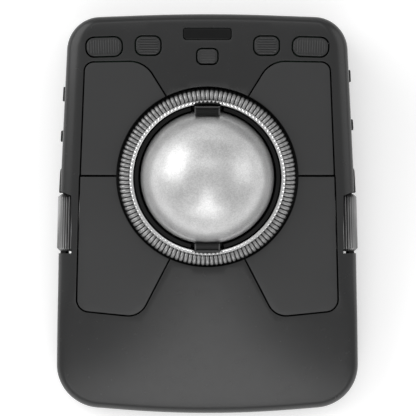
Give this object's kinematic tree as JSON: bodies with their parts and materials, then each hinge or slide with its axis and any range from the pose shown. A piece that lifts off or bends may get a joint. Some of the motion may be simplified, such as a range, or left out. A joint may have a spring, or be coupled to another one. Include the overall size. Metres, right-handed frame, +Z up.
{
  "type": "trackball mouse",
  "caption": "Desk trackball mouse: a large ball in a tilted wedge case, with a knurled scroll ring round it, flush main buttons, small keys and side rollers.",
  "frame": {"origin": "on the desk surface under the middle of the case", "axes": "+X to the user's right, +Y away from the user, +Z up"},
  "size_m": [0.1256, 0.1648, 0.0614],
  "materials": {
    "case": "fine satin grain, charcoal",
    "button": "fine satin grain, charcoal",
    "key": "satin black",
    "side_control": "satin black",
    "frame_plastic": "moulded black",
    "cup": "smooth black",
    "window": "smoked gloss",
    "ball": "silver pearl under clear resin",
    "ring": "knurled crown, polished inner chamfer",
    "roller": "ridged, satin",
    "steel": "bright",
    "board": "green solder mask",
    "foot": "matt",
    "battery": "foil pouch",
    "lead": "insulation"
  },
  "bodies": {
    "case": {"top_cover": "case", "base_tray": "case", "inner_frame": "frame_plastic", "indicator_lens": "window", "ball_cup": "cup", "rear_ball_clip": "cup", "front_ball_clip": "cup", "ball_bearing_rear": "steel", "ball_bearing_left": "steel", "ball_bearing_right": "steel", "sensor_lens": "window", "optical_sensor": "frame_plastic", "sensor_board": "board", "main_board": "board", "key_board": "board", "ring_guide": "frame_plastic", "ring_encoder": "frame_plastic", "battery_pack": "battery", "battery_lead": "lead", "usb_socket": "steel", "far_left_tact_switch": "frame_plastic", "near_left_tact_switch": "frame_plastic", "centre_tact_switch": "frame_plastic", "near_right_tact_switch": "frame_plastic", "far_right_tact_switch": "frame_plastic", "upper_left_switch": "frame_plastic", "upper_right_switch": "frame_plastic", "lower_left_switch": "frame_plastic", "lower_right_switch": "frame_plastic", "left_roller_bracket": "frame_plastic", "left_roller_encoder": "frame_plastic", "front_left_foot": "foot", "front_left_screw": "steel", "rear_left_foot": "foot", "rear_left_screw": "steel", "right_roller_bracket": "frame_plastic", "right_roller_encoder": "frame_plastic", "front_right_foot": "foot", "front_right_screw": "steel", "rear_right_foot": "foot", "rear_right_screw": "steel"},
    "ball": {"trackball": "ball"},
    "scroll_ring": {"scroll_ring": "ring"},
    "upper_left_button": {"upper_left_button": "button"},
    "upper_right_button": {"upper_right_button": "button"},
    "lower_left_button": {"lower_left_button": "button"},
    "lower_right_button": {"lower_right_button": "button"},
    "far_left_key": {"far_left_key": "key"},
    "near_left_key": {"near_left_key": "key"},
    "centre_key": {"centre_key": "key"},
    "near_right_key": {"near_right_key": "key"},
    "far_right_key": {"far_right_key": "key"},
    "left_roller": {"left_roller": "roller", "left_roller_axle": "steel"},
    "left_slide_switch": {"left_slide_switch": "side_control"},
    "left_push_button": {"left_push_button": "side_control"},
    "right_roller": {"right_roller": "roller", "right_roller_axle": "steel"},
    "right_slide_switch": {"right_slide_switch": "side_control"},
    "right_push_button": {"right_push_button": "side_control"}
  },
  "joints": [
    {"name": "ball_roll", "type": "hinge", "parent": "case", "child": "ball", "pos_m": [0, 0.01589, 0.034], "axis": [1, 0, 0], "continuous": true},
    {"name": "ring_spin", "type": "hinge", "parent": "case", "child": "scroll_ring", "pos_m": [0, 0.01589, 0.034], "axis": [0, -0.1219, 0.9925], "continuous": true},
    {"name": "left_roller_spin", "type": "hinge", "parent": "case", "child": "left_roller", "pos_m": [-0.056, -0.00301, 0.022], "axis": [0.0262, 0.9997, 0], "continuous": true},
    {"name": "right_roller_spin", "type": "hinge", "parent": "case", "child": "right_roller", "pos_m": [0.056, -0.00301, 0.022], "axis": [-0.0262, 0.9997, 0], "continuous": true},
    {"name": "upper_left_button_press", "type": "hinge", "parent": "case", "child": "upper_left_button", "pos_m": [-0.038, 0.05774, 0.0337], "axis": [1, 0, 0], "range_deg": [0, 1.2], "stiffness_Nm_per_rad": 0.8, "springref_deg": -0.69},
    {"name": "lower_left_button_press", "type": "hinge", "parent": "case", "child": "lower_left_button", "pos_m": [-0.0395, -0.0374, 0.02081], "axis": [-1, 0, 0], "range_deg": [0, 1.1], "stiffness_Nm_per_rad": 0.8, "springref_deg": -0.69},
    {"name": "upper_right_button_press", "type": "hinge", "parent": "case", "child": "upper_right_button", "pos_m": [0.038, 0.05774, 0.0337], "axis": [1, 0, 0], "range_deg": [0, 1.2], "stiffness_Nm_per_rad": 0.8, "springref_deg": -0.69},
    {"name": "lower_right_button_press", "type": "hinge", "parent": "case", "child": "lower_right_button", "pos_m": [0.0395, -0.0374, 0.02081], "axis": [-1, 0, 0], "range_deg": [0, 1.1], "stiffness_Nm_per_rad": 0.8, "springref_deg": -0.69},
    {"name": "far_left_key_press", "type": "slide", "parent": "case", "child": "far_left_key", "axis": [0, 0.0523, -0.9986], "range_m": [0, 0.0006], "stiffness_N_per_m": 400, "springref_m": -0.0004},
    {"name": "near_left_key_press", "type": "slide", "parent": "case", "child": "near_left_key", "axis": [0, 0.0523, -0.9986], "range_m": [0, 0.0006], "stiffness_N_per_m": 400, "springref_m": -0.0004},
    {"name": "centre_key_press", "type": "slide", "parent": "case", "child": "centre_key", "axis": [0, 0.0523, -0.9986], "range_m": [0, 0.0006], "stiffness_N_per_m": 400, "springref_m": -0.0004},
    {"name": "near_right_key_press", "type": "slide", "parent": "case", "child": "near_right_key", "axis": [0, 0.0523, -0.9986], "range_m": [0, 0.0006], "stiffness_N_per_m": 400, "springref_m": -0.0004},
    {"name": "far_right_key_press", "type": "slide", "parent": "case", "child": "far_right_key", "axis": [0, 0.0523, -0.9986], "range_m": [0, 0.0006], "stiffness_N_per_m": 400, "springref_m": -0.0004},
    {"name": "left_switch_slide", "type": "slide", "parent": "case", "child": "left_slide_switch", "axis": [0, 1, 0], "range_m": [-0.00125, 0.00125]},
    {"name": "left_push_button_press", "type": "slide", "parent": "case", "child": "left_push_button", "axis": [1, 0, 0], "range_m": [0, 0.0005], "stiffness_N_per_m": 400, "springref_m": -0.0004},
    {"name": "right_switch_slide", "type": "slide", "parent": "case", "child": "right_slide_switch", "axis": [0, 1, 0], "range_m": [-0.00125, 0.00125]},
    {"name": "right_push_button_press", "type": "slide", "parent": "case", "child": "right_push_button", "axis": [-1, 0, 0], "range_m": [0, 0.0005], "stiffness_N_per_m": 400, "springref_m": -0.0004}
  ]
}
